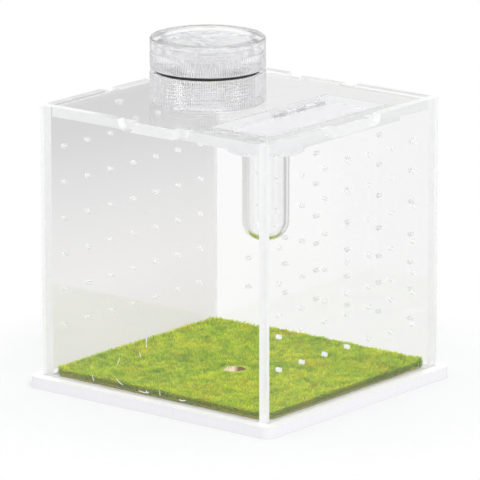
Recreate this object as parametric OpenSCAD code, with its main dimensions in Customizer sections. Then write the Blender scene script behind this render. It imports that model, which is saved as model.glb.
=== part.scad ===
// Vented clear box with a lift-out lid, a screw port, a drop-in hatch and a hanging tube
// Units: mm. +Z up. Origin: centre of the underside of the white base plate.

/* [Box] */
// outside width of the walled box, along X
box_w = 100; // [80:1:140]
// outside depth of the walled box, along Y
box_d = 95.5; // [80:0.5:140]
// height of the walls above the base plate
wall_h = 96.7; // [60:0.1:140]
// thickness of the wall panels
wall_t = 3.3; // [2:0.1:6]

/* [Base] */
// thickness of the white base plate
base_t = 4; // [3:0.5:8]
// how far the base plate stands out past the walls
base_over = 3.6; // [0:0.1:10]
// corner radius of the base plate
base_r = 3; // [1:0.5:8]
// thickness of the moss mat
mat_t = 3; // [2:0.5:8]
// gap between the mat and the walls
mat_gap = 0.7; // [0.5:0.1:4]
// radius of the small hole through the mat
mat_hole_r = 3.8; // [2:0.1:8]

/* [Lid] */
// thickness of the lid plate
lid_t = 3.5; // [3:0.1:6]
// how far the lid's top lies below the wall tops
lid_drop = 0.5; // [0:0.1:2]
// width of each of the four lid tabs
tab_w = 18; // [10:1:30]
// width of each notch in the wall tops
notch_w = 30; // [20:1:40]
// radius of the notch's bottom corners
notch_r = 3.5; // [1:0.1:4]
// play between the lid plate and the inside of the walls
lid_play = 0.3; // [0.2:0.05:1]

/* [Vent holes] */
// radius of the vent holes in the walls
vent_r = 0.8; // [0.5:0.1:2]
// column pitch on the left wall
left_pitch = 12.4; // [8:0.1:16]
// column pitch on the right wall
right_pitch = 12.55; // [8:0.05:16]
// column pitch on the back wall
back_pitch = 14; // [8:0.1:16]

/* [Screw port] */
// port axis X
port_x = -11; // [-20:0.5:0]
// port axis Y
port_y = -4; // [-10:0.5:10]
// outside radius of the ring and the cap
port_r = 20.2; // [15:0.1:25]
// height of the threaded ring
ring_h = 10.7; // [8:0.1:16]
// height of the cap above the seal gap
cap_h = 10.7; // [6:0.1:14]
// seal gap between ring and cap
seal_gap = 1.2; // [1:0.1:3]

/* [Hatch] */
// left edge of the hatch cut-out
hatch_x0 = 16.3; // [10:0.1:20]
// right edge of the hatch cut-out
hatch_x1 = 41; // [30:0.1:44]
// front edge of the hatch cut-out
hatch_y0 = -35.3; // [-40:0.1:-20]
// back edge of the hatch cut-out
hatch_y1 = 28.3; // [10:0.1:40]
// thickness of the hatch door
door_t = 1.2; // [1:0.1:2]

/* [Tube] */
// outside radius of the hanging tube
tube_r = 7; // [5:0.1:9]
// wall thickness of the tube
tube_t = 1; // [0.6:0.1:2]
// height of the tube's round tip above the base plate
tube_tip = 56.1; // [20:0.1:80]

/* [Hidden] */
$fn = 64;
e = 0.01;
hx = box_w/2;
hy = box_d/2;
ix = hx - wall_t;
iy = hy - wall_t;
z_top = base_t + wall_h;
lid_z1 = z_top - lid_drop;
lid_z0 = lid_z1 - lid_t;
notch_d = z_top - lid_z0;
// hatch
frame_t = 2;
door_z0 = lid_z0 + 0.05;
hin_r = 1.3;
hin_x = hatch_x0 + 0.3 + hin_r;
hin_z = lid_z0 + 0.1 + hin_r;
hin_y0 = -3;
kn = 5.4;
kn_gap = 0.15;
pin_r = 0.6;
leaf_t = 1;
// tube
tube_x = (hatch_x0 + hatch_x1)/2 - 0.35;
tube_y = -21.5;
tube_z1 = lid_z0 - 0.3;
// port
ring_z0 = lid_z1;
ring_z1 = ring_z0 + ring_h;
cap_z0 = ring_z1 + seal_gap;
cap_z1 = cap_z0 + cap_h;
bore_r = 15.7;
spig_r = 14.9;
ridge_r = 15.35;
throat_r = 13;
seal_r = 0.6;
seal_R = 17.6;
knurl_n = 156;
knurl_d = 0.45;
knurl_h = 6.2;
rec_d = 1.1;
win_t = 1.5;

module rrect(w, d, r) {
    square([w - 2*r, d], center = true);
    square([w, d - 2*r], center = true);
    for (sx = [-1, 1]) for (sy = [-1, 1]) translate([sx*(w/2 - r), sy*(d/2 - r)]) circle(r = r);
}

// notch outline in a wall's own plane: u along the wall, v up from the notch's floor
module notch2d() {
    translate([-notch_w/2 + notch_r, 0]) square([notch_w - 2*notch_r, notch_d + 1]);
    translate([-notch_w/2, notch_r]) square([notch_w, notch_d + 1 - notch_r]);
    for (s = [-1, 1]) translate([s*(notch_w/2 - notch_r), notch_r]) circle(r = notch_r);
}

// a wall panel that stands along X, its outer face towards -Y, from u0 to u1
module panel(u0, u1) {
    difference() {
        translate([u0, 0, base_t]) cube([u1 - u0, wall_t, wall_h]);
        translate([0, wall_t + 1, lid_z0]) rotate([90, 0, 0]) linear_extrude(wall_t + 2) notch2d();
    }
}

module vents(cols, rows) {
    for (u = cols) for (v = rows)
        translate([u, -1, base_t + v]) rotate([-90, 0, 0]) cylinder(r = vent_r, h = wall_t + 2);
}

left_cols = [for (i = [-3:3]) i*left_pitch - 0.6];
right_cols = [for (i = [0:6]) i*right_pitch - 40.3];
back_cols = [for (i = [0:5]) i*back_pitch - 38.4];
left_rows = [for (i = [0:5]) 16.5 + i*12.85];
right_rows = [17.5, 29, 36.3, 47.4, 60, 72.3, 82.8];
back_rows = [16.2, 26.8, 36.5, 46.6, 58.4, 69.6, 80.2];

module base_plate() {
    color([0.95, 0.95, 0.95]) linear_extrude(base_t) rrect(box_w + 2*base_over, box_d + 2*base_over, base_r);
}

// the front panel covers the left panel's end and butts against the right panel
module wall_front() {
    color([0.85, 0.88, 0.9, 0.4]) translate([0, -hy, 0]) panel(-hx, ix);
}

module wall_right() {
    color([0.85, 0.88, 0.9, 0.4]) translate([hx, 0, 0]) rotate([0, 0, 90]) difference() {
        panel(-hy, hy);
        vents(right_cols, right_rows);
    }
}

module wall_back() {
    color([0.85, 0.88, 0.9, 0.4]) translate([0, hy, 0]) rotate([0, 0, 180]) difference() {
        panel(-ix, ix);
        vents(back_cols, back_rows);
    }
}

module wall_left() {
    color([0.85, 0.88, 0.9, 0.4]) translate([-hx, 0, 0]) rotate([0, 0, -90]) difference() {
        panel(-hy, iy);
        vents(left_cols, left_rows);
    }
}

module moss_mat() {
    color([0.45, 0.6, 0.05]) translate([0, 0, base_t]) linear_extrude(mat_t) difference() {
        rrect(2*(ix - mat_gap), 2*(iy - mat_gap), 2.5);
        translate([3, -5.2]) circle(r = mat_hole_r);
    }
}

module lid_plate() {
    color([0.85, 0.88, 0.9, 0.4]) translate([0, 0, lid_z0]) linear_extrude(lid_t) difference() {
        union() {
            square([2*(ix - lid_play), 2*(iy - lid_play)], center = true);
            square([box_w, tab_w], center = true);
            square([tab_w, box_d], center = true);
        }
        translate([hatch_x0, hatch_y0]) square([hatch_x1 - hatch_x0, hatch_y1 - hatch_y0]);
        translate([hatch_x0 - leaf_t, hin_y0 - 0.3]) square([leaf_t + e, 5*kn + 0.6]);
        translate([port_x, port_y]) circle(r = bore_r);
        translate([-34.8, -23.3]) circle(r = 1.6);
    }
}

// ledge frame bonded under the lid: the door lies on it and the tube's collar sits in it
module lid_frame() {
    color([0.85, 0.88, 0.9, 0.4]) translate([0, 0, lid_z0 - frame_t]) linear_extrude(frame_t) difference() {
        translate([hatch_x0 - 3, hatch_y0 - 3]) square([hatch_x1 - hatch_x0 + 6, hatch_y1 - hatch_y0 + 6]);
        translate([hatch_x0 + 2.3, -9]) square([hatch_x1 - hatch_x0 - 4.6, 35]);
        translate([tube_x, tube_y]) circle(r = 10);
    }
}

module knuckle(i, r) {
    translate([hin_x, hin_y0 + i*kn + kn_gap, hin_z]) rotate([-90, 0, 0]) cylinder(r = r, h = kn - 2*kn_gap);
}

module hatch_door() {
    color([0.93, 0.93, 0.95, 0.7]) difference() {
        union() {
            difference() {
                translate([hin_x, hatch_y0 + 0.3, door_z0]) cube([hatch_x1 - 0.3 - hin_x, hatch_y1 - hatch_y0 - 0.6, door_t]);
                for (i = [0, 2, 4]) translate([hin_x - 1, hin_y0 + i*kn - kn_gap, door_z0 - 1])
                    cube([1 + hin_r + 0.3, kn + 2*kn_gap, door_t + 2]);
            }
            for (i = [1, 3]) knuckle(i, hin_r);
        }
        translate([hin_x, hin_y0 - 1, hin_z]) rotate([-90, 0, 0]) cylinder(r = pin_r + 0.05, h = 5*kn + 2);
    }
}

module hatch_hinge_leaf() {
    color([0.9, 0.9, 0.92, 0.6]) difference() {
        union() {
            translate([hatch_x0 - leaf_t, hin_y0, lid_z0]) cube([leaf_t, 5*kn, lid_t]);
            for (i = [0, 2, 4]) {
                knuckle(i, hin_r);
                translate([hatch_x0 - 0.1, hin_y0 + i*kn + kn_gap, hin_z - 0.8]) cube([hin_x - hatch_x0 + 0.1, kn - 2*kn_gap, 1.6]);
            }
        }
        translate([hin_x, hin_y0 - 1, hin_z]) rotate([-90, 0, 0]) cylinder(r = pin_r + 0.02, h = 5*kn + 2);
    }
}

module hatch_hinge_pin() {
    color([0.7, 0.7, 0.72]) translate([hin_x, hin_y0, hin_z]) rotate([-90, 0, 0]) cylinder(r = pin_r, h = 5*kn);
}

module knurl2d(ro, ri, n) {
    polygon([for (i = [0:2*n - 1]) let (r = (i % 2 == 0) ? ro : ri, a = i*180/n) [r*cos(a), r*sin(a)]]);
}

module port_ring() {
    color([0.88, 0.88, 0.92, 0.5]) translate([port_x, port_y, ring_z0]) difference() {
        union() {
            linear_extrude(ring_h) knurl2d(port_r, port_r - knurl_d, knurl_n);
        }
        translate([0, 0, -1]) cylinder(r = bore_r, h = ring_h + 2);
        translate([0, 0, ring_h - 0.6]) difference() {
            cylinder(r = seal_R + 1, h = 2);
            translate([0, 0, -1]) cylinder(r = seal_R - 1, h = 4);
        }
    }
}

module port_seal() {
    color([0.05, 0.05, 0.05]) translate([port_x, port_y, ring_z1 - 0.3 + seal_r]) rotate_extrude() translate([seal_R, 0]) circle(r = seal_r, $fn = 32);
}

module port_cap() {
    f = 0.8;
    color([0.88, 0.88, 0.92, 0.5]) translate([port_x, port_y, cap_z0]) difference() {
        union() {
            linear_extrude(knurl_h + 0.2) knurl2d(port_r - 0.1, port_r - knurl_d, knurl_n);
            translate([0, 0, knurl_h]) difference() {
                cylinder(r = port_r, h = cap_h - knurl_h);
                translate([0, 0, cap_h - knurl_h - f]) rotate_extrude() difference() {
                    translate([port_r - f, 0]) square([f + 1, f + 1]);
                    translate([port_r - f, 0]) circle(r = f, $fn = 48);
                }
            }
            translate([0, 0, -8.8]) cylinder(r = spig_r, h = 9);
            for (i = [0:2]) translate([0, 0, -7.9 + i*2.6]) cylinder(r = ridge_r, h = 1);
        }
        translate([0, 0, cap_h - rec_d - win_t]) cylinder(r = bore_r, h = rec_d + win_t + 1);
        translate([0, 0, -10]) cylinder(r = throat_r, h = cap_h + 10 - rec_d);
    }
}

module cap_window() {
    color([0.9, 0.9, 0.95, 0.4]) translate([port_x, port_y, cap_z1 - rec_d - win_t]) cylinder(r = bore_r - 0.05, h = win_t);
}

module water_tube() {
    zc = base_t + tube_tip + tube_r;
    color([0.85, 0.9, 0.9, 0.4]) translate([tube_x, tube_y, 0]) difference() {
        union() {
            translate([0, 0, zc]) cylinder(r = tube_r, h = tube_z1 - zc);
            translate([0, 0, zc]) sphere(r = tube_r);
        }
        translate([0, 0, zc]) cylinder(r = tube_r - tube_t, h = tube_z1 - zc + 1);
        translate([0, 0, zc]) sphere(r = tube_r - tube_t);
    }
}

module tube_collar() {
    color([0.9, 0.9, 0.9, 0.6]) translate([tube_x, tube_y, lid_z0 - frame_t - 3]) difference() {
        union() {
            cylinder(r = 12, h = 3);
            cylinder(r = 9.9, h = 3 + frame_t - 0.1);
        }
        translate([0, 0, -1]) cylinder(r = tube_r + 0.05, h = 8);
    }
}

base_plate();
wall_front();
wall_right();
wall_back();
wall_left();
moss_mat();
lid_plate();
lid_frame();
hatch_door();
hatch_hinge_leaf();
hatch_hinge_pin();
port_ring();
port_seal();
port_cap();
cap_window();
water_tube();
tube_collar();
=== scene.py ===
"""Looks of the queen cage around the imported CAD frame. Blender 4.5, metres."""
import math

import bpy
import numpy as np
from mathutils import Matrix, Vector, noise


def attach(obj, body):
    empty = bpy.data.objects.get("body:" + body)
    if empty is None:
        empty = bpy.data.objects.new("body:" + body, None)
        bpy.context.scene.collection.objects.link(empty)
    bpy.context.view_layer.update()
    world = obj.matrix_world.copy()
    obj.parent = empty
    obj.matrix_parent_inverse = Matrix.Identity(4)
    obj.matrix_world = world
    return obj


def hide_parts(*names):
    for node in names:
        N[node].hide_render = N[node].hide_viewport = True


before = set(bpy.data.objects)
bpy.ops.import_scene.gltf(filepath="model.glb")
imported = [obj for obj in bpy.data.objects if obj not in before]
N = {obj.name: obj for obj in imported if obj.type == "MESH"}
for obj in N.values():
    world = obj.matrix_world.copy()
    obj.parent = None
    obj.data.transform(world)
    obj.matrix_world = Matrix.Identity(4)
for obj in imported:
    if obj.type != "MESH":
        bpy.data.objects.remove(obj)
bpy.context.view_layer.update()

MM = 0.001
PORT = (-11.0, -4.0)
TUBE = (28.3, -21.5)

# ---------------------------------------------------------------- node helpers


class Mat:
    """A small wrapper for writing node materials in code."""

    def __init__(self, name):
        self.m = bpy.data.materials.new(name)
        self.m.use_nodes = True
        self.t = self.m.node_tree
        self.t.nodes.clear()
        self.out = self.t.nodes.new("ShaderNodeOutputMaterial")

    def n(self, kind, **props):
        node = self.t.nodes.new(kind)
        for k, v in props.items():
            setattr(node, k, v)
        return node

    def l(self, a, b):
        self.t.links.new(a, b)

    def put(self, socket, value):
        if isinstance(value, bpy.types.NodeSocket):
            self.l(value, socket)
        elif value is not None:
            socket.default_value = value

    def math(self, op, a, b=None, c=None, clamp=False):
        node = self.n("ShaderNodeMath", operation=op, use_clamp=clamp)
        for i, v in enumerate((a, b, c)):
            if v is not None:
                self.put(node.inputs[i], v)
        return node.outputs[0]

    def obj(self):
        return self.n("ShaderNodeTexCoord").outputs["Object"]

    def scaled(self, scale, loc=(0, 0, 0), rot=(0, 0, 0), src=None):
        mp = self.n("ShaderNodeMapping")
        self.l(src or self.obj(), mp.inputs["Vector"])
        mp.inputs["Location"].default_value = loc
        mp.inputs["Rotation"].default_value = rot
        mp.inputs["Scale"].default_value = scale if isinstance(scale, tuple) else (scale,) * 3
        return mp.outputs[0]

    def noise(self, scale, detail=4.0, rough=0.5, distort=0.0, vec=None):
        node = self.n("ShaderNodeTexNoise")
        self.l(vec or self.obj(), node.inputs["Vector"])
        node.inputs["Scale"].default_value = scale
        node.inputs["Detail"].default_value = detail
        node.inputs["Roughness"].default_value = rough
        node.inputs["Distortion"].default_value = distort
        return node.outputs["Fac"]

    def voronoi(self, scale, feature="F1", vec=None, rand=1.0):
        node = self.n("ShaderNodeTexVoronoi", feature=feature)
        self.l(vec or self.obj(), node.inputs["Vector"])
        node.inputs["Scale"].default_value = scale
        node.inputs["Randomness"].default_value = rand
        return node.outputs["Distance"]

    def remap(self, v, a, b, lo, hi, smooth=False):
        node = self.n("ShaderNodeMapRange", interpolation_type="SMOOTHSTEP" if smooth else "LINEAR")
        self.l(v, node.inputs["Value"])
        for k, x in zip(("From Min", "From Max", "To Min", "To Max"), (a, b, lo, hi)):
            node.inputs[k].default_value = x
        return node.outputs[0]

    def mix(self, f, a, b, mode="MIX"):
        node = self.n("ShaderNodeMix", data_type="RGBA", blend_type=mode)
        self.put(node.inputs[0], f)
        self.put(node.inputs[6], a)
        self.put(node.inputs[7], b)
        return node.outputs[2]

    def ramp(self, f, stops):
        node = self.n("ShaderNodeValToRGB")
        self.l(f, node.inputs[0])
        e = node.color_ramp.elements
        while len(e) < len(stops):
            e.new(0.5)
        for el, (p, c) in zip(e, stops):
            el.position = p
            el.color = (*c, 1)
        return node.outputs[0]

    def bump(self, height, strength, dist, normal=None):
        node = self.n("ShaderNodeBump")
        node.inputs["Strength"].default_value = strength
        node.inputs["Distance"].default_value = dist
        self.l(height, node.inputs["Height"])
        if normal is not None:
            self.l(normal, node.inputs["Normal"])
        return node.outputs[0]

    def principled(self, **sockets):
        p = self.n("ShaderNodeBsdfPrincipled")
        for k, v in sockets.items():
            self.put(p.inputs[k.replace("_", " ")], v)
        return p.outputs[0]

    def mix_shader(self, f, a, b):
        node = self.n("ShaderNodeMixShader")
        self.put(node.inputs[0], f)
        self.l(a, node.inputs[1])
        self.l(b, node.inputs[2])
        return node.outputs[0]

    def lets_light(self, shader):
        """Light from lamps and light bounced off solid things passes straight through the clear plastic."""
        lp = self.n("ShaderNodeLightPath")
        f = self.math("MAXIMUM", lp.outputs["Is Shadow Ray"], lp.outputs["Is Diffuse Ray"])
        tr = self.n("ShaderNodeBsdfTransparent")
        tr.inputs[0].default_value = (0.972, 0.972, 0.975, 1)
        return self.mix_shader(f, shader, tr.outputs[0])

    def done(self, shader):
        self.l(shader, self.out.inputs["Surface"])
        return self.m


def rgb(r, g, b):
    """sRGB 0..255 to linear."""
    def f(c):
        c /= 255.0
        return c / 12.92 if c <= 0.04045 else ((c + 0.055) / 1.055) ** 2.4
    return (f(r), f(g), f(b), 1.0)


# ---------------------------------------------------------------- materials


def clear_sheet(name, thin_axis=None, tint=(0.998, 0.998, 0.997), scratch=0.35, sawn_tone=1.0, sawn_clear=0.12):
    """Cast acrylic sheet: polished faces, sawn edges that scatter. thin_axis is the axis across the sheet."""
    m = Mat(name)
    wave = m.noise(55.0, 3.0, 0.55)
    smudge = m.noise(38.0, 5.0, 0.62, 0.6)
    fine = m.noise(900.0, 2.0, 0.5, vec=m.scaled((1.0, 1.0, 0.08)))
    rough = m.remap(smudge, 0.50, 0.78, 0.004, 0.045, True)
    lo = tuple(c * 0.992 for c in tint)
    base = m.mix(m.remap(smudge, 0.35, 0.75, 0, 1), (*tint, 1), (*lo, 1))
    nrm = m.bump(wave, 0.05, 0.0004)
    nrm = m.bump(fine, 0.015 * scratch, 0.0001, nrm)
    body = m.principled(
        Base_Color=base, Roughness=rough, IOR=1.49, Transmission_Weight=1.0, Normal=nrm
    )
    if thin_axis is not None:
        geo = m.n("ShaderNodeNewGeometry")
        sep = m.n("ShaderNodeSeparateXYZ")
        m.l(geo.outputs["True Normal"], sep.inputs[0])
        across = m.math("ABSOLUTE", sep.outputs[thin_axis])
        edge = m.math("LESS_THAN", across, 0.35)
        saw = m.noise(1.0, 3.0, 0.6, vec=m.scaled((2600.0, 2600.0, 260.0)))
        grain = m.noise(420.0, 4.0, 0.6)
        tone = m.mix(
            m.remap(grain, 0.3, 0.7, 0, 1),
            (sawn_tone, sawn_tone, sawn_tone, 1),
            (sawn_tone * 0.955, sawn_tone * 0.955, sawn_tone * 0.955, 1),
        )
        sawn_n = m.bump(saw, 0.25, 0.00012)
        df = m.n("ShaderNodeBsdfDiffuse")
        tl = m.n("ShaderNodeBsdfTranslucent")
        for q in (df, tl):
            m.l(tone, q.inputs["Color"])
            m.l(sawn_n, q.inputs["Normal"])
        glow = m.mix_shader(0.5, df.outputs[0], tl.outputs[0])
        see = m.principled(
            Base_Color=tone,
            Roughness=m.remap(grain, 0.3, 0.7, 0.32, 0.45),
            IOR=1.49,
            Transmission_Weight=1.0,
        )
        # sawn faces that face up or down are mixed 30% clearer than the side edges, so they look greyer and more
        # see-through
        upward = m.math("GREATER_THAN", m.math("ABSOLUTE", sep.outputs[2]), 0.7)
        part = m.math("ADD", m.math("MULTIPLY", upward, 0.30), sawn_clear)
        frosted = m.mix_shader(part, glow, see)
        body = m.mix_shader(edge, body, frosted)
    return m.done(m.lets_light(body))


def clear_moulded(name, tint, edge_shade, rough0=0.01, rough1=0.06, wavy=0.10, blend=0.45, clear=1.0):
    """Injection-moulded clear plastic: flow marks, a slight tint, and a painted shade that darkens the colour where the
    wall is seen edge-on.
    """
    m = Mat(name)
    flow = m.noise(130.0, 3.0, 0.5, 0.8)
    haze = m.noise(60.0, 4.0, 0.6)
    lw = m.n("ShaderNodeLayerWeight")
    lw.inputs["Blend"].default_value = blend
    # painted shade: the colour darkens towards edge-on view, standing in for darker surroundings seen in the rims
    base = m.mix(lw.outputs["Facing"], (*tint, 1), (*edge_shade, 1))
    shade = m.remap(haze, 0.3, 0.75, 1.0, 0.97)
    base = m.mix(1.0, base, m.combine(shade), "MULTIPLY")
    nrm = m.bump(flow, wavy, 0.0005)
    body = m.principled(
        Base_Color=base,
        Roughness=m.remap(haze, 0.35, 0.75, rough0, rough1),
        IOR=1.49,
        Transmission_Weight=clear,
        Normal=nrm,
    )
    return m.done(m.lets_light(body))


def _combine(self, v):
    node = self.n("ShaderNodeCombineColor")
    for i in range(3):
        self.l(v, node.inputs[i])
    return node.outputs[0]


Mat.combine = _combine


def base_white():
    m = Mat("base_white_acrylic")
    geo = m.n("ShaderNodeNewGeometry")
    sep = m.n("ShaderNodeSeparateXYZ")
    m.l(geo.outputs["True Normal"], sep.inputs[0])
    side = m.math("LESS_THAN", m.math("ABSOLUTE", sep.outputs[2]), 0.5)
    cloud = m.noise(24.0, 4.0, 0.6)
    saw = m.noise(1.0, 3.0, 0.65, vec=m.scaled((1900.0, 1900.0, 120.0)))
    speck = m.noise(650.0, 2.0, 0.5)
    top = m.mix(m.remap(cloud, 0.3, 0.7, 0, 1), rgb(241, 240, 238), rgb(238, 237, 235))
    cut = m.mix(m.remap(saw, 0.3, 0.7, 0, 1), rgb(235, 234, 236), rgb(231, 230, 232))
    base = m.mix(side, top, cut)
    rough = m.mix(side, m.combine(m.remap(speck, 0.3, 0.7, 0.16, 0.24)), m.combine(m.remap(saw, 0.3, 0.7, 0.42, 0.6)))
    sepr = m.n("ShaderNodeSeparateColor")
    m.l(rough, sepr.inputs[0])
    h = m.math("MULTIPLY", saw, side)
    nrm = m.bump(h, 0.14, 0.00008)
    nrm = m.bump(cloud, 0.04, 0.0004, nrm)
    return m.done(m.principled(Base_Color=base, Roughness=sepr.outputs[0], IOR=1.49, Normal=nrm, Subsurface_Weight=0.0))


def moss_blade():
    m = Mat("moss_blades")
    geo = m.n("ShaderNodeNewGeometry")
    rnd = geo.outputs["Random Per Island"]
    big = m.noise(62.0, 3.0, 0.55, 0.6)
    mid = m.noise(190.0, 3.0, 0.6, 0.4)
    warm = m.noise(95.0, 2.0, 0.5, 0.2, vec=m.scaled(1.0, (0.13, 0.4, 0.2)))
    sep = m.n("ShaderNodeSeparateXYZ")
    m.l(m.obj(), sep.inputs[0])
    field = m.math("ADD", m.math("MULTIPLY", big, 0.5), m.math("MULTIPLY", mid, 0.5))
    col = m.ramp(
        m.remap(field, 0.36, 0.66, 0.0, 1.0),
        [
            (0.0, rgb(118, 172, 24)[:3]),
            (0.30, rgb(184, 220, 18)[:3]),
            (0.62, rgb(228, 240, 22)[:3]),
            (1.0, rgb(255, 246, 40)[:3]),
        ],
    )
    one = m.ramp(
        rnd,
        [
            (0.0, rgb(92, 148, 24)[:3]),
            (0.22, rgb(176, 216, 20)[:3]),
            (0.75, rgb(232, 242, 28)[:3]),
            (0.90, rgb(255, 248, 60)[:3]),
            (1.0, rgb(246, 180, 52)[:3]),
        ],
    )
    col = m.mix(0.42, col, one)
    orange = m.math("MULTIPLY", m.remap(warm, 0.56, 0.72, 0, 0.6, True), m.math("GREATER_THAN", rnd, 0.35))
    col = m.mix(orange, col, rgb(252, 220, 50))
    # roots are darker and browner than tips
    # colour turns darker and browner towards the bottom of the pile
    depth = m.remap(sep.outputs[2], 0.0056, 0.0074, 1.0, 0.0, True)
    col = m.mix(m.math("MULTIPLY", depth, 0.55), col, rgb(98, 126, 24))
    p = m.principled(Base_Color=col, Roughness=m.remap(mid, 0.3, 0.7, 0.42, 0.62), IOR=1.4, Specular_IOR_Level=0.35)
    tl = m.n("ShaderNodeBsdfTranslucent")
    m.l(m.mix(1.0, col, (1.0, 1.0, 0.5, 1), "MULTIPLY"), tl.inputs[0])
    return m.done(m.mix_shader(0.38, p, tl.outputs[0]))


def moss_sheet():
    m = Mat("moss_backing")
    fib = m.noise(1.0, 4.0, 0.65, 0.5, vec=m.scaled((500.0, 500.0, 1500.0)))
    patch = m.noise(150.0, 3.0, 0.6)
    sep = m.n("ShaderNodeSeparateXYZ")
    m.l(m.obj(), sep.inputs[0])
    geo = m.n("ShaderNodeNewGeometry")
    nz = m.n("ShaderNodeSeparateXYZ")
    m.l(geo.outputs["True Normal"], nz.inputs[0])
    side = m.math("LESS_THAN", nz.outputs[2], 0.35)
    top = m.mix(m.remap(patch, 0.35, 0.65, 0, 1), rgb(126, 156, 28), rgb(180, 196, 36))
    # the hole's wall: pale on one side, turning to a brown painted shade towards the other, laid along the main view's
    # left-right direction
    hx = m.math("SUBTRACT", sep.outputs[0], 0.003)
    hy = m.math("ADD", sep.outputs[1], 0.0052)
    hole = m.math("LESS_THAN", m.math("ADD", m.math("MULTIPLY", hx, hx), m.math("MULTIPLY", hy, hy)), 0.0048 ** 2)
    toward_view_right = m.math("ADD", m.math("MULTIPLY", hx, 0.779), m.math("MULTIPLY", hy, 0.627))
    toward_view_right = m.math("ADD", toward_view_right, m.math("MULTIPLY", m.math("SUBTRACT", patch, 0.5), 0.003))
    # painted shade: pale to brown across the hole, along the main view's left-right direction
    hole_wall_painted_shade = m.mix(m.remap(toward_view_right, -0.0012, 0.0016, 0, 1, True), rgb(250, 232, 204), rgb(128, 92, 56))
    soil = m.mix(m.remap(fib, 0.3, 0.7, 0, 1), rgb(142, 116, 70), rgb(206, 182, 122))
    hi = m.remap(sep.outputs[2], 0.0041, 0.0050, 0.0, 1.0, True)
    soil = m.mix(hi, soil, rgb(176, 190, 48))
    soil = m.mix(hole, soil, hole_wall_painted_shade)
    col = m.mix(side, top, soil)
    return m.done(m.principled(Base_Color=col, Roughness=0.85, Normal=m.bump(fib, 0.6, 0.0004)))


def rubber():
    m = Mat("seal_rubber")
    g = m.noise(700.0, 3.0, 0.6)
    dust = m.noise(120.0, 4.0, 0.6)
    col = m.mix(m.remap(dust, 0.5, 0.8, 0, 0.5), rgb(16, 16, 18), rgb(44, 44, 48))
    return m.done(m.principled(Base_Color=col, Roughness=m.remap(g, 0.3, 0.7, 0.38, 0.58), Normal=m.bump(g, 0.15, 0.0001)))


def silicone():
    m = Mat("collar_silicone")
    g = m.noise(260.0, 3.0, 0.6)
    col = m.mix(m.remap(g, 0.3, 0.7, 0, 1), (0.95, 0.95, 0.95, 1), (0.88, 0.88, 0.89, 1))
    body = m.principled(Base_Color=col, Roughness=m.remap(g, 0.3, 0.7, 0.22, 0.4), IOR=1.41, Transmission_Weight=0.55, Normal=m.bump(g, 0.1, 0.0002))
    return m.done(m.lets_light(body))


def satin():
    m = Mat("door_satin_acrylic")
    g = m.noise(1500.0, 3.0, 0.6)
    c = m.noise(40.0, 3.0, 0.6)
    col = m.mix(m.remap(c, 0.3, 0.7, 0, 1), (0.86, 0.852, 0.862, 1), (0.83, 0.822, 0.835, 1))
    body = m.principled(Base_Color=col, Roughness=m.remap(c, 0.3, 0.7, 0.20, 0.28), IOR=1.49, Transmission_Weight=0.62, Normal=m.bump(g, 0.12, 0.00008))
    return m.done(m.lets_light(body))


def steel():
    m = Mat("pin_steel_brushed")
    g = m.noise(1.0, 3.0, 0.6, vec=m.scaled((4000.0, 120.0, 4000.0)))
    col = m.mix(m.remap(g, 0.3, 0.7, 0, 1), (0.86, 0.86, 0.865, 1), (0.70, 0.70, 0.705, 1))
    return m.done(m.principled(Base_Color=col, Metallic=1.0, Roughness=m.remap(g, 0.3, 0.7, 0.2, 0.38), Normal=m.bump(g, 0.2, 0.00005)))


def lint_white():
    m = Mat("lint_fibre")
    g = m.noise(1800.0, 3.0, 0.6)
    col = m.mix(m.remap(g, 0.3, 0.7, 0, 1), rgb(252, 252, 250), rgb(234, 234, 230))
    return m.done(m.principled(Base_Color=col, Roughness=m.remap(g, 0.3, 0.7, 0.55, 0.8), Normal=m.bump(g, 0.3, 0.00005)))


M = {
    "lint": lint_white(),
    "base": base_white(),
    "wall_x": clear_sheet("wall_acrylic_x", 0),
    "wall_y": clear_sheet("wall_acrylic_y", 1),
    "lid": clear_sheet("lid_acrylic", 2, (0.996, 0.993, 0.992), 0.6, 0.985, 0.30),
    "frame": clear_sheet("frame_acrylic", 2, (0.996, 0.994, 0.993), 0.5, 0.985, 0.35),
    "hinge": clear_moulded("hinge_moulded", (0.98, 0.98, 0.985), (0.92, 0.92, 0.93), 0.02, 0.10, 0.10, 0.45, 0.86),
    "port": clear_moulded("port_moulded", (0.992, 0.988, 1.0), (0.95, 0.945, 0.965), 0.012, 0.045, 0.05, 0.45, 0.94),
    "window": clear_moulded("window_moulded", (0.99, 0.99, 0.995), (0.94, 0.94, 0.955), 0.01, 0.05, 0.3, 0.45, 0.80),
    "tube": clear_moulded("tube_moulded", (0.995, 0.995, 0.995), (0.90, 0.90, 0.90), 0.004, 0.02, 0.03, 0.28),
    "collar": silicone(),
    "door": satin(),
    "pin": steel(),
    "seal": rubber(),
    "moss": moss_blade(),
    "sheet": moss_sheet(),
}

# ---------------------------------------------------------------- mesh helpers


def make(name, co, faces, mat, body, smooth=True, sharp=38.0):
    me = bpy.data.meshes.new(name)
    me.from_pydata(np.asarray(co, float).reshape(-1, 3).tolist(), [], faces if isinstance(faces, list) else faces.tolist())
    me.validate()
    me.materials.append(mat)
    if smooth:
        me.polygons.foreach_set("use_smooth", [True] * len(me.polygons))
        if sharp is not None:
            me.set_sharp_from_angle(angle=math.radians(sharp))
    me.update()
    ob = bpy.data.objects.new(name, me)
    bpy.context.scene.collection.objects.link(ob)
    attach(ob, body)
    return ob


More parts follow.
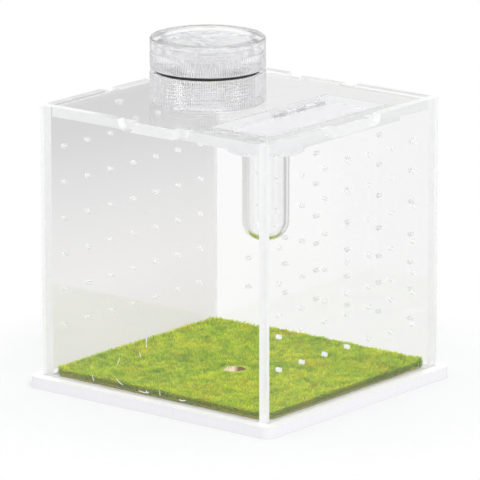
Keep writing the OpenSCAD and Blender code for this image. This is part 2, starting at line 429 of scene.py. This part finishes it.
def lathe(rows, segs, centre, rad):
    """Closed solid of revolution. rows is a closed loop of (r, z) in mm, inside the solid on the left; rad(i, r, z, theta array) gives the radius in mm."""
    th = np.arange(segs) * 2 * math.pi / segs
    co = np.empty((len(rows), segs, 3))
    for i, (r, z) in enumerate(rows):
        rr = rad(i, r, z, th)
        co[i, :, 0] = (centre[0] + rr * np.cos(th)) * MM
        co[i, :, 1] = (centre[1] + rr * np.sin(th)) * MM
        co[i, :, 2] = z * MM
    n = len(rows)
    i, j = np.meshgrid(np.arange(n), np.arange(segs), indexing="ij")
    i2, j2 = (i + 1) % n, (j + 1) % segs
    f = np.stack([i * segs + j, i * segs + j2, i2 * segs + j2, i2 * segs + j], -1).reshape(-1, 4)
    return co.reshape(-1, 3), f


def span(a, b, n):
    """n points from a to b, both (r, z), the last left out."""
    return [(a[0] + (b[0] - a[0]) * k / n, a[1] + (b[1] - a[1]) * k / n) for k in range(n)]


def arc(c, r, a0, a1, n):
    return [(c[0] + r * math.cos(math.radians(a0 + (a1 - a0) * k / n)), c[1] + r * math.sin(math.radians(a0 + (a1 - a0) * k / n))) for k in range(n + 1)]


RIBS, PER = 156, 6
RIB = np.array([0.0, 0.05, 0.26, 0.46, 0.26, 0.05])  # mm cut below the rib's top
LEAD, STARTS = 3.5, 3
PITCH = LEAD / STARTS


def ribbed(th, depth=1.0):
    return np.tile(RIB, RIBS)[: len(th)] * depth


def thread(z, th, height):
    """Height of a rounded multi-start thread at each angle."""
    ph = (z - LEAD * th / (2 * math.pi)) / PITCH
    return height * (0.5 + 0.5 * np.cos(2 * math.pi * ph)) ** 1.6


# ---------------------------------------------------------------- port ring

ring_rows, ring_kind = [], []


def rows_add(rows, kinds, pts, kind):
    rows.extend(pts)
    kinds.extend([kind] * len(pts))


# up the outside, over the top, down the threaded bore, back under
R0, R1 = 100.23, 110.9  # foot and top of the ring; the foot is a hair off the lid so that light finds two faces
C0, C1 = 112.1, 122.8  # underside and top of the cap
rows_add(ring_rows, ring_kind, [(19.6, R0), (19.9, R0 + 0.03)], "plain")
rows_add(ring_rows, ring_kind, [(20.12, R0 + 0.2)], "half")
rows_add(ring_rows, ring_kind, span((20.2, R0 + 0.5), (20.2, R1 - 0.7), 6), "rib")
rows_add(ring_rows, ring_kind, [(20.2, R1 - 0.7), (20.17, R1 - 0.45)], "rib")
rows_add(ring_rows, ring_kind, [(20.05, R1 - 0.2)], "half")
rows_add(ring_rows, ring_kind, [(19.75, R1 - 0.05), (19.2, R1), (18.55, R1)], "plain")
# groove that the seal sits in
rows_add(ring_rows, ring_kind, [(18.35, R1 - 0.08)] + arc((17.6, R1 + 0.3), 0.68, -35, -145, 5) + [(16.85, R1 - 0.08)], "plain")
rows_add(ring_rows, ring_kind, [(16.6, R1), (16.1, R1), (15.85, R1 - 0.15)], "plain")
rows_add(ring_rows, ring_kind, [(15.72, R1 - 0.4)], "plain")
rows_add(ring_rows, ring_kind, span((15.70, R1 - 0.7), (15.70, R0 + 1.1), 46), "bore")
rows_add(ring_rows, ring_kind, [(15.70, R0 + 1.1), (15.70, R0 + 0.4), (15.85, R0)], "plain")


def ring_rad(i, r, z, th):
    k = ring_kind[i]
    if k == "rib":
        return r - ribbed(th)
    if k == "half":
        return r - ribbed(th, 0.5)
    if k == "bore":
        fade = min(1.0, (R1 - 0.7 - z) / 0.8, (z - R0 - 1.1) / 0.8)
        return r + thread(z, th, 0.30) * max(fade, 0.0)
    return r + 0 * th


co, f = lathe(ring_rows, RIBS * PER, PORT, ring_rad)
ring = make("port_ring_v", co, f, M["port"], "lid", sharp=55)
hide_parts("port_ring")

# ---------------------------------------------------------------- port cap

cap_rows, cap_kind = [], []
# outside of the spigot, up from its foot
S0 = C0 - 8.8
rows_add(cap_rows, cap_kind, [(13.25, S0), (14.5, S0), (14.8, S0 + 0.15)], "plain")
rows_add(cap_rows, cap_kind, span((14.9, S0 + 0.4), (14.9, C0 - 0.6), 38), "spigot")
rows_add(cap_rows, cap_kind, [(14.9, C0 - 0.6), (14.95, C0 - 0.15), (15.2, C0)], "plain")
# underside of the head, then the knurled band
rows_add(cap_rows, cap_kind, span((15.6, C0), (19.4, C0), 3) + [(19.4, C0), (19.85, C0 + 0.05)], "plain")
rows_add(cap_rows, cap_kind, [(20.03, C0 + 0.25)], "half")
rows_add(cap_rows, cap_kind, span((20.12, C0 + 0.55), (20.12, C0 + 6.0), 6), "rib")
rows_add(cap_rows, cap_kind, [(20.14, C0 + 6.15)], "half")
rows_add(cap_rows, cap_kind, [(20.2, C0 + 6.4), (20.2, C0 + 8.0), (20.2, C1 - 1.0)], "plain")
rows_add(cap_rows, cap_kind, arc((19.4, C1 - 0.8), 0.8, 0, 86, 7), "plain")
rows_add(cap_rows, cap_kind, [(19.0, C1), (17.6, C1), (16.5, C1), (16.05, C1 - 0.05), (15.8, C1 - 0.25)], "plain")
rows_add(cap_rows, cap_kind, [(15.70, C1 - 0.6), (15.70, C1 - 1.2), (15.70, C1 - 1.9), (15.70, C1 - 2.5)], "plain")
rows_add(cap_rows, cap_kind, [(15.62, C1 - 2.6), (14.4, C1 - 2.6), (13.3, C1 - 2.6), (13.05, C1 - 2.8)], "plain")
rows_add(cap_rows, cap_kind, span((13.0, C1 - 3.2), (13.0, S0 + 0.5), 9) + [(13.0, S0 + 0.25)], "plain")


def cap_rad(i, r, z, th):
    k = cap_kind[i]
    if k == "rib":
        return r - ribbed(th)
    if k == "half":
        return r - ribbed(th, 0.5)
    if k == "spigot":
        fade = min(1.0, (C0 - 0.6 - z) / 0.8, (z - S0 - 0.4) / 0.8)
        return r + thread(z, th, 0.42) * max(fade, 0.0)
    return r + 0 * th


co, f = lathe(cap_rows, RIBS * PER, PORT, cap_rad)
cap = make("port_cap_v", co, f, M["port"], "cap", sharp=55)
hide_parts("port_cap")

# ---------------------------------------------------------------- crinkled window disc


def disc_piece():
    rings, segs = 56, 180
    co, faces = [], []

    def top_z(x, y, r):
        v = Vector((x * 0.17 + 3.1, y * 0.17 - 1.7, 0.4))
        a = noise.noise(v) + 0.5 * noise.noise(v * 2.3 + Vector((5, 1, 2)))
        b = 1.0 - abs(noise.noise(v * 1.5 + Vector((9.0, 4.0, 1.0)))) * 2.2
        left = 1.0 / (1.0 + math.exp((x * 0.62 + y * 0.78 - 0.5) / 4.0))
        fade = min(1.0, (15.6 - r) / 2.0)
        return C1 - 1.32 + fade * (0.14 * a + (0.92 * max(b, 0.0) - 0.32) * left)

    for side in (0, 1):
        for i in range(rings + 1):
            r = 15.6 * i / rings
            for j in range(segs):
                a = 2 * math.pi * j / segs
                x, y = r * math.cos(a), r * math.sin(a)
                if side == 0:
                    z = top_z(x, y, r)
                else:
                    z = C1 - 2.58
                co.append(((PORT[0] + x) * MM, (PORT[1] + y) * MM, z * MM))
    # collapse the centres: first ring's points are all one place, so use a single point
    base = (rings + 1) * segs
    for i in range(rings):
        for j in range(segs):
            j2 = (j + 1) % segs
            a, b, c, d = i * segs + j, i * segs + j2, (i + 1) * segs + j2, (i + 1) * segs + j
            if i == 0:
                faces.append((0, d, c))
                faces.append((base, base + c, base + d))
            else:
                faces.append((a, d, c, b))
                faces.append((base + a, base + b, base + c, base + d))
    for j in range(segs):
        j2 = (j + 1) % segs
        a, b = rings * segs + j, rings * segs + j2
        faces.append((a, base + a, base + b, b))
    co = np.array(co)
    used = np.zeros(len(co), bool)
    for f_ in faces:
        used[list(f_)] = True
    new = np.cumsum(used) - 1
    return co[used], [tuple(int(new[k]) for k in f_) for f_ in faces]


co, f = disc_piece()
disc = make("cap_window_v", co, f, M["window"], "cap", sharp=50)
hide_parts("cap_window")

# ---------------------------------------------------------------- water tube

tube_rows = []
tube_rows += [(6.0, 95.9), (6.12, 96.3), (6.5, 96.4), (6.88, 96.3), (7.0, 95.9)]
tube_rows += span((7.0, 94.0), (7.0, 67.1), 10)
outer = arc((0, 67.1), 7.0, 0, -88.0, 18)
inner = arc((0, 67.1), 6.0, -88.0, 0, 16)


def tube_piece():
    """Test-tube solid: outer skin to the pole, inner skin back up, and a rolled lip."""
    segs = 128
    th = np.arange(segs) * 2 * math.pi / segs
    prof = [(6.0, 95.9), (6.12, 96.3), (6.5, 96.4), (6.88, 96.3), (7.0, 95.9)]
    prof += span((7.0, 94.5), (7.0, 67.1), 8) + outer
    prof_in = inner + list(reversed(span((6.0, 94.5), (6.0, 67.1), 8)))
    co, faces = [], []

    def ring_at(r, z):
        k = len(co)
        for a in th:
            co.append(((TUBE[0] + r * math.cos(a)) * MM, (TUBE[1] + r * math.sin(a)) * MM, z * MM))
        return k

    first = None
    last = None
    for r, z in prof:
        k = ring_at(r, z)
        if last is not None:
            for j in range(segs):
                j2 = (j + 1) % segs
                faces.append((last + j, k + j, k + j2, last + j2))
        else:
            first = k
        last = k
    pole = len(co)
    co.append((TUBE[0] * MM, TUBE[1] * MM, 60.1 * MM))
    for j in range(segs):
        faces.append((last + j, pole, last + (j + 1) % segs))
    pole2 = len(co)
    co.append((TUBE[0] * MM, TUBE[1] * MM, 61.1 * MM))
    last = None
    for r, z in prof_in:
        k = ring_at(r, z)
        if last is None:
            for j in range(segs):
                faces.append((k + j, k + (j + 1) % segs, pole2))
        else:
            for j in range(segs):
                j2 = (j + 1) % segs
                faces.append((last + j, k + j, k + j2, last + j2))
        last = k
    for j in range(segs):
        j2 = (j + 1) % segs
        faces.append((last + j, first + j, first + j2, last + j2))
    return np.array(co), faces


co, f = tube_piece()
tube = make("water_tube_v", co, f, M["tube"], "tube", sharp=60)
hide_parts("water_tube")

# ---------------------------------------------------------------- moss

LOX, LOY, HIX, HIY = -46.0, -43.75, 46.0, 43.75
HOLE, HOLE_R = (3.0, -5.2), 3.8
rng = np.random.default_rng(41)


def bumps(x, y):
    """Height of the moss surface over its plain top, in mm."""
    a = noise.noise(Vector((x * 0.11, y * 0.11, 1.3)))
    b = noise.noise(Vector((x * 0.31, y * 0.31, 7.7)))
    return 0.55 * a + 0.35 * b


def outline(a):
    """Point of the mat's outline at angle a from the hole's centre: a rounded rectangle, a little uneven."""
    dx, dy = math.cos(a), math.sin(a)
    t = 1e9
    if dx > 1e-9: t = min(t, (HIX - HOLE[0]) / dx)
    if dx < -1e-9: t = min(t, (LOX - HOLE[0]) / dx)
    if dy > 1e-9: t = min(t, (HIY - HOLE[1]) / dy)
    if dy < -1e-9: t = min(t, (LOY - HOLE[1]) / dy)
    x, y = HOLE[0] + dx * t, HOLE[1] + dy * t
    # pull the corners in to a radius
    R = 2.5
    cx = min(max(x, LOX + R), HIX - R)
    cy = min(max(y, LOY + R), HIY - R)
    ex, ey = x - cx, y - cy
    d = math.hypot(ex, ey)
    if d > R:
        x, y = cx + ex * R / d, cy + ey * R / d
    w = 0.35 * noise.noise(Vector((x * 0.21, y * 0.21, 3.0)))
    n = Vector((x, y)).normalized()
    return x - n.x * (0.35 + w), y - n.y * (0.35 + w)


def moss_backing():
    segs, rings = 300, 54
    co, faces = [], []

    def ring_pts(fn):
        k = len(co)
        for j in range(segs):
            a = 2 * math.pi * j / segs
            x, y, z = fn(a)
            co.append((x * MM, y * MM, z * MM))
        return k

    def hole_pt(a, r):
        rr = r * (1 + 0.07 * math.sin(3 * a + 0.6) + 0.05 * math.sin(5 * a))
        return HOLE[0] + rr * math.cos(a), HOLE[1] + rr * math.sin(a)

    loops = []
    loops.append(ring_pts(lambda a: (*hole_pt(a, HOLE_R - 0.3), 4.02)))
    loops.append(ring_pts(lambda a: (*hole_pt(a, HOLE_R - 0.15), 5.6)))
    for i in range(rings + 1):
        t = (i / rings) ** 1.0

        def pt(a, t=t):
            hx, hy = hole_pt(a, HOLE_R)
            ox, oy = outline(a)
            x, y = hx + (ox - hx) * t, hy + (oy - hy) * t
            z = 6.35 + 0.7 * bumps(x, y)
            edge = min(1.0, (1 - t) * math.hypot(ox - hx, oy - hy) / 1.6)
            z -= 0.5 * (1 - edge) ** 2
            return x, y, z

        loops.append(ring_pts(pt))
    loops.append(ring_pts(lambda a: (*outline(a), 5.2)))
    loops.append(ring_pts(lambda a: (*outline(a), 4.02)))
    for u, v in zip(loops, loops[1:] + loops[:1]):
        for j in range(segs):
            j2 = (j + 1) % segs
            faces.append((u + j, v + j, v + j2, u + j2))
    return np.array(co), faces


co, f = moss_backing()
backing = make("moss_backing_v", co, f, M["sheet"], "box", sharp=60)
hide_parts("moss_mat")


def inside(x, y, grow=0.0):
    R = 2.5
    ax = max(abs(x - (LOX + HIX) / 2) - ((HIX - LOX) / 2 - R), 0)
    ay = max(abs(y - (LOY + HIY) / 2) - ((HIY - LOY) / 2 - R), 0)
    return math.hypot(ax, ay) <= R - 0.5 + grow


def moss_tufts():
    """Thousands of bent, pointed leaves, leaning with a slow field so that they gather in tufts and spill over the mat's edge."""
    count, spill = ((60000, 18000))
    co, faces = [], []

    def leaf(x, y, z0, az, lean, cur, ln, w):
        tw = 0.5 * math.sin(rng.uniform(0, math.pi))
        wx, wy = math.cos(az + math.pi / 2 + tw), math.sin(az + math.pi / 2 + tw)
        k = len(co)
        px, py, pz = x, y, z0
        a = lean * 0.55
        co.append((px - wx * w * 0.35, py - wy * w * 0.35, pz))
        co.append((px + wx * w * 0.35, py + wy * w * 0.35, pz))
        for share, width in ((0.42, 0.95), (0.33, 0.70), (0.25, 0.0)):
            px += math.sin(a) * math.cos(az) * ln * share
            py += math.sin(a) * math.sin(az) * ln * share
            pz += math.cos(a) * ln * share
            a += cur * 0.55
            if width > 0:
                co.append((px - wx * w * width * 0.5, py - wy * w * width * 0.5, pz))
                co.append((px + wx * w * width * 0.5, py + wy * w * width * 0.5, pz))
            else:
                co.append((px, py, pz))
        faces.extend([(k, k + 1, k + 3, k + 2), (k + 2, k + 3, k + 5, k + 4), (k + 4, k + 5, k + 6)])

    made = 0
    while made < count:
        x = rng.uniform(LOX, HIX)
        y = rng.uniform(LOY, HIY)
        if not inside(x, y):
            continue
        dh = math.hypot(x - HOLE[0], y - HOLE[1])
        if dh < HOLE_R + 0.1:
            continue
        clump = noise.noise(Vector((x * 0.42, y * 0.42, 2.2)))
        fine = noise.noise(Vector((x * 1.1, y * 1.1, 5.1)))
        dens = 0.62 + 0.75 * clump + 0.3 * fine
        if rng.uniform() > max(dens, 0.28):
            continue
        made += 1
        z0 = 5.7 + 0.7 * bumps(x, y)
        ln = rng.uniform(1.2, 2.2) * (1.0 + 0.40 * clump + 0.25 * fine)
        if dh < HOLE_R + 2.2:
            ln *= 0.55
        fx = noise.noise(Vector((x * 0.22, y * 0.22, 11.0)))
        fy = noise.noise(Vector((x * 0.22, y * 0.22, 23.0)))
        az = math.atan2(fy, fx) + rng.normal(0, 1.1)
        lean = min(abs(rng.normal(0.45, 0.32)) + 0.1, 1.25)
        leaf(x, y, z0, az, lean, rng.uniform(0.1, 0.9), ln, rng.uniform(0.16, 0.30))
    for _ in range(spill):
        # over the outer edge, hanging a little down the side
        a = rng.uniform(0, 2 * math.pi)
        ox, oy = outline(a)
        t = 1.0 - abs(rng.normal(0, 0.004))
        x, y = HOLE[0] + (ox - HOLE[0]) * t, HOLE[1] + (oy - HOLE[1]) * t
        # face the nearer wall
        if (HIX - abs(x)) < (HIY - abs(y)):
            out = 0.0 if x > 0 else math.pi
        else:
            out = math.pi / 2 if y > 0 else -math.pi / 2
        az = out + rng.normal(0, 0.7)
        z0 = rng.uniform(4.4, 6.6)
        leaf(x, y, z0, az, rng.uniform(0.7, 2.5), rng.uniform(0.3, 1.5), rng.uniform(0.9, 1.9), rng.uniform(0.22, 0.38))
    co = np.array(co)
    co[:, 0] = co[:, 0].clip(-46.5, 46.5)
    co[:, 1] = co[:, 1].clip(-44.25, 44.25)
    co[:, 2] = co[:, 2].clip(4.15, 9.2)
    # two halves of the pile and the fringe, each a piece of its own
    half = count // 2
    out = []
    for a, b in ((0, half), (half, count), (count, count + spill)):
        fs = [tuple(k - a * 7 for k in f_) for f_ in faces[a * 3:b * 3]]
        out.append((co[a * 7:b * 7] * MM, fs))
    return out


for name, (co, f) in zip(("moss_pile_a_v", "moss_pile_b_v", "moss_fringe_v"), moss_tufts()):
    make(name, co, f, M["moss"], "box", sharp=None)


def lint():
    """A few white lint threads that cling inside the front wall. Each is its points (x, z) in mm, just inside the panel."""
    runs = LINT
    co, faces = [], []
    for n, (pts, rad) in enumerate(runs):
        pts = [Vector((x, -44.33, z)) for x, z in pts]
        fine = []
        for i in range(len(pts) - 1):
            for k in range(4):
                t = k / 4
                q = pts[i].lerp(pts[i + 1], t)
                q += Vector((0.12 * noise.noise(q * 0.9), 0.0, 0.12 * noise.noise(q * 0.9 + Vector((7, 1, 3)))))
                fine.append(q)
        fine.append(pts[-1])
        rings = []
        for i, q in enumerate(fine):
            d = (fine[min(i + 1, len(fine) - 1)] - fine[max(i - 1, 0)]).normalized()
            u = Vector((0, 1, 0))
            v = d.cross(u).normalized()
            r = rad * 1.35 * (0.45 if i in (0, len(fine) - 1) else 1.0)
            k = len(co)
            for j in range(6):
                a = 2 * math.pi * j / 6
                co.append(tuple((q + u * (math.cos(a) * min(r, 0.1)) + v * (math.sin(a) * r)) * MM))
            rings.append(k)
        for p0, p1 in zip(rings, rings[1:]):
            for j in range(6):
                j2 = (j + 1) % 6
                faces.append((p0 + j, p0 + j2, p1 + j2, p1 + j))
        faces.append(tuple(rings[0] + j for j in reversed(range(6))))
        faces.append(tuple(rings[-1] + j for j in range(6)))
    return np.array(co), faces


LINT = [
    ([(-4.3, 24.9), (-4.5, 23.3), (-4.5, 21.2)], 0.09),
    ([(-7.7, 19.1), (-7.0, 17.3)], 0.09),
    ([(-16.4, 15.7), (-17.1, 14.2), (-17.6, 12.8)], 0.09),
    ([(-28.9, 7.1), (-28.7, 6.1), (-28.2, 5.2)], 0.12),
    ([(-18.2, 7.9), (-17.0, 6.8), (-15.2, 6.0)], 0.11),
    ([(-8.1, 5.2), (-5.9, 5.0), (-3.4, 5.5)], 0.13),
    ([(-4.8, 6.1), (-3.9, 4.7)], 0.1),
    ([(1.4, 6.9), (1.5, 4.9)], 0.1),
    ([(9.8, 5.2), (11.2, 5.0), (13.0, 5.5)], 0.15),
]
co, f = lint()
lint_ob = make("wall_lint_v", co, f, M["lint"], "box", sharp=80)

# ---------------------------------------------------------------- materials on the carried-over CAD nodes


def paint(node, mat):
    ob = N[node]
    if not ob.material_slots:
        ob.data.materials.append(mat)
    for s in ob.material_slots:
        s.material = mat


paint("base_plate", M["base"])
paint("wall_front", M["wall_y"])
paint("wall_back", M["wall_y"])
paint("wall_left", M["wall_x"])
paint("wall_right", M["wall_x"])
paint("moss_mat", M["sheet"])
paint("lid_plate", M["lid"])
paint("lid_frame", M["frame"])
paint("hatch_hinge_leaf", M["hinge"])
paint("hatch_hinge_pin", M["pin"])
paint("port_ring", M["port"])
paint("tube_collar", M["collar"])
paint("port_seal", M["seal"])
paint("port_cap", M["port"])
paint("cap_window", M["window"])
paint("hatch_door", M["door"])
paint("water_tube", M["tube"])

# the frame's top face lies on the lid's underside: a hair of air between them keeps the refraction right
air = N["lid_frame"].modifiers.new("air_gap", "DISPLACE")
air.direction = "Z"
air.mid_level = 0.0
air.strength = -0.00003

# ---------------------------------------------------------------- floor, light, camera


def floor():
    r, n = 3.0, 64
    co = [(0, 0, -0.00005)] + [(r * math.cos(2 * math.pi * k / n), r * math.sin(2 * math.pi * k / n), -0.00005) for k in range(n)]
    me = bpy.data.meshes.new("floor")
    me.from_pydata(co, [], [(0, k + 1, (k + 1) % n + 1) for k in range(n)])
    ob = bpy.data.objects.new("floor", me)
    bpy.context.scene.collection.objects.link(ob)
    m = Mat("floor_paper")
    g = m.noise(14.0, 2.0, 0.5)
    col = m.mix(m.remap(g, 0.3, 0.7, 0, 1), (0.95, 0.95, 0.95, 1), (0.94, 0.94, 0.94, 1))
    near = m.principled(Base_Color=m.mix(1.0, col, (0.755, 0.755, 0.75, 1), "MULTIPLY"), Roughness=0.9, Specular_IOR_Level=0.0)
    sp = m.n("ShaderNodeSeparateXYZ")
    m.l(m.obj(), sp.inputs[0])
    rr = m.math("SQRT", m.math("ADD", m.math("MULTIPLY", sp.outputs[0], sp.outputs[0]), m.math("MULTIPLY", sp.outputs[1], sp.outputs[1])))
    paper = m.n("ShaderNodeEmission")
    m.l(m.mix(m.remap(g, 0.3, 0.7, 0, 1), (1, 1, 1, 1), (0.996, 0.996, 0.996, 1)), paper.inputs[0])
    me.materials.append(m.done(m.mix_shader(m.remap(rr, 0.085, 0.125, 0.0, 1.0, True), near, paper.outputs[0])))
    ob.visible_transmission = False
    ob.visible_glossy = False
    ob.visible_diffuse = False
    return ob


floor()


def painted_shade_card():
    """A pale grey card just behind the left wall, seen only through the clear sheet: it glows with painted shade,
    darker towards the top, for the grey seen through that wall.
    """
    x = -0.0585
    ys, zs = (-0.034, 0.0595), (0.0010, 0.0985)
    me = bpy.data.meshes.new("card")
    ny, nz = 8, 8
    co = [(x, ys[0] + (ys[1] - ys[0]) * i / ny, zs[0] + (zs[1] - zs[0]) * j / nz) for i in range(ny + 1) for j in range(nz + 1)]
    fc = [(i * (nz + 1) + j, (i + 1) * (nz + 1) + j, (i + 1) * (nz + 1) + j + 1, i * (nz + 1) + j + 1) for i in range(ny) for j in range(nz)]
    me.from_pydata(co, [], fc)
    ob = bpy.data.objects.new("painted_shade_card", me)
    bpy.context.scene.collection.objects.link(ob)
    m = Mat("card_painted_shade")
    sep = m.n("ShaderNodeSeparateXYZ")
    m.l(m.obj(), sep.inputs[0])
    v = m.ramp(
        m.remap(sep.outputs[2], 0.0, 0.1, 0.0, 1.0),
        [(0.0, (0.81, 0.80, 0.76)), (0.30, (0.86, 0.85, 0.845)), (0.55, (0.79, 0.78, 0.78)), (0.85, (0.65, 0.64, 0.645)), (1.0, (0.62, 0.61, 0.615))],
    )
    em = m.n("ShaderNodeEmission")
    m.l(v, em.inputs[0])
    em.inputs[1].default_value = 1.0
    me.materials.append(m.done(em.outputs[0]))
    for k in ("visible_camera", "visible_diffuse", "visible_glossy", "visible_shadow", "visible_volume_scatter"):
        setattr(ob, k, False)


painted_shade_card()

scene = bpy.context.scene
world = bpy.data.worlds.new("studio")
scene.world = world
world.use_nodes = True
wt = world.node_tree
wt.nodes.clear()
w_out = wt.nodes.new("ShaderNodeOutputWorld")


def wmath(op, a, b=None, clamp=False):
    node = wt.nodes.new("ShaderNodeMath")
    node.operation, node.use_clamp = op, clamp
    for i, v in enumerate((a, b)):
        if isinstance(v, bpy.types.NodeSocket):
            wt.links.new(v, node.inputs[i])
        elif v is not None:
            node.inputs[i].default_value = v
    return node.outputs[0]


def wmap(v, a, b, lo, hi):
    node = wt.nodes.new("ShaderNodeMapRange")
    node.interpolation_type = "SMOOTHSTEP"
    wt.links.new(v, node.inputs["Value"])
    for k, x in zip(("From Min", "From Max", "To Min", "To Max"), (a, b, lo, hi)):
        node.inputs[k].default_value = x
    return node.outputs[0]


VIEW_AZ = 38.845
tc = wt.nodes.new("ShaderNodeTexCoord")
sx = wt.nodes.new("ShaderNodeSeparateXYZ")
wt.links.new(tc.outputs["Generated"], sx.inputs[0])
# eight soft white sectors, one of them straight behind the object as the camera sees it
ang = wmath("ARCTAN2", sx.outputs[1], sx.outputs[0])
view_dir = math.atan2(math.cos(math.radians(VIEW_AZ)), -math.sin(math.radians(VIEW_AZ)))
wave8 = wmath("COSINE", wmath("MULTIPLY", wmath("SUBTRACT", ang, view_dir), 8.0))
sector = wmap(wave8, -0.5, 0.35, 0.55, 1.0)
low = wmap(sx.outputs[2], 0.0, 0.12, 1.0, 0.71)          # below the horizon the floor, above it a mid grey room
top = wmap(sx.outputs[2], 0.62, 0.80, 0.0, 0.85)         # soft light overhead
near = wmap(sx.outputs[2], -0.75, -0.45, 1.0, 0.0)       # straight down is always floor
room = wmath("MAXIMUM", wmath("MULTIPLY", low, wmath("MAXIMUM", sector, near)), top)
lp = wt.nodes.new("ShaderNodeLightPath")
bg_room = wt.nodes.new("ShaderNodeBackground")
bg_flat = wt.nodes.new("ShaderNodeBackground")
bg_white = wt.nodes.new("ShaderNodeBackground")
cc = wt.nodes.new("ShaderNodeCombineColor")
for i in range(3):
    wt.links.new(room, cc.inputs[i])
wt.links.new(cc.outputs[0], bg_room.inputs["Color"])
bg_room.inputs["Strength"].default_value = 1.0
bg_flat.inputs["Color"].default_value = (0.98, 0.985, 1.0, 1)
bg_flat.inputs["Strength"].default_value = 0.95
bg_white.inputs["Color"].default_value = (1, 1, 1, 1)
bg_white.inputs["Strength"].default_value = 1.0
m1 = wt.nodes.new("ShaderNodeMixShader")
m2 = wt.nodes.new("ShaderNodeMixShader")
wt.links.new(lp.outputs["Is Diffuse Ray"], m1.inputs[0])
wt.links.new(bg_room.outputs[0], m1.inputs[1])
wt.links.new(bg_flat.outputs[0], m1.inputs[2])
wt.links.new(lp.outputs["Is Camera Ray"], m2.inputs[0])
wt.links.new(m1.outputs[0], m2.inputs[1])
wt.links.new(bg_white.outputs[0], m2.inputs[2])
wt.links.new(m2.outputs[0], w_out.inputs[0])
world.cycles.sampling_method = "NONE"


def lamp(name, loc, target, size, watts, colour=(1, 1, 1)):
    d = bpy.data.lights.new(name, "AREA")
    d.shape = "RECTANGLE"
    d.size, d.size_y = size
    d.energy = watts
    d.color = colour
    ob = bpy.data.objects.new(name, d)
    scene.collection.objects.link(ob)
    ob.location = loc
    ob.rotation_euler = (Vector(target) - Vector(loc)).to_track_quat("-Z", "Y").to_euler()
    return ob


lamp("key", (1.05, -0.55, 1.10), (0, 0, 0.04), (0.8, 0.8), 8.0)
lamp("overhead", (-0.1, 0.15, 1.35), (0, 0, 0.0), (0.9, 0.9), 5.0)
lamp("fill", (-1.1, -0.9, 0.75), (0, 0, 0.05), (0.7, 0.7), 1.5)

# camera, solved for the object's own frame
AZ, EL, ROLL, DIST, LENS = 38.845, 14.164, -0.075, 1900.13, 406.9
a, e, ro = map(math.radians, (AZ, EL, ROLL))
back = Vector((math.sin(a) * math.cos(e), -math.cos(a) * math.cos(e), math.sin(e)))
right = Vector((math.cos(a), math.sin(a), 0))
up = back.cross(right)
r2 = right * math.cos(ro) + up * math.sin(ro)
u2 = -right * math.sin(ro) + up * math.cos(ro)
pos = (r2 * -0.072 + u2 * 45.606 + back * DIST) * MM + Vector((0, 0, 0.004))
cam_data = bpy.data.cameras.new("camera")
cam_data.sensor_width = 36.0
cam_data.lens = LENS
cam_data.clip_start, cam_data.clip_end = 0.05, 50.0
cam = bpy.data.objects.new("camera", cam_data)
scene.collection.objects.link(cam)
cam.matrix_world = Matrix((
    (r2.x, u2.x, back.x, pos.x),
    (r2.y, u2.y, back.y, pos.y),
    (r2.z, u2.z, back.z, pos.z),
    (0, 0, 0, 1),
))
scene.camera = cam
scene.view_settings.view_transform = "Standard"
scene.view_settings.look = "None"
scene.cycles.max_bounces = 28
scene.cycles.transmission_bounces = 28
scene.cycles.glossy_bounces = 8
scene.cycles.diffuse_bounces = 10
scene.cycles.transparent_max_bounces = 40
scene.cycles.sample_clamp_indirect = 3.5
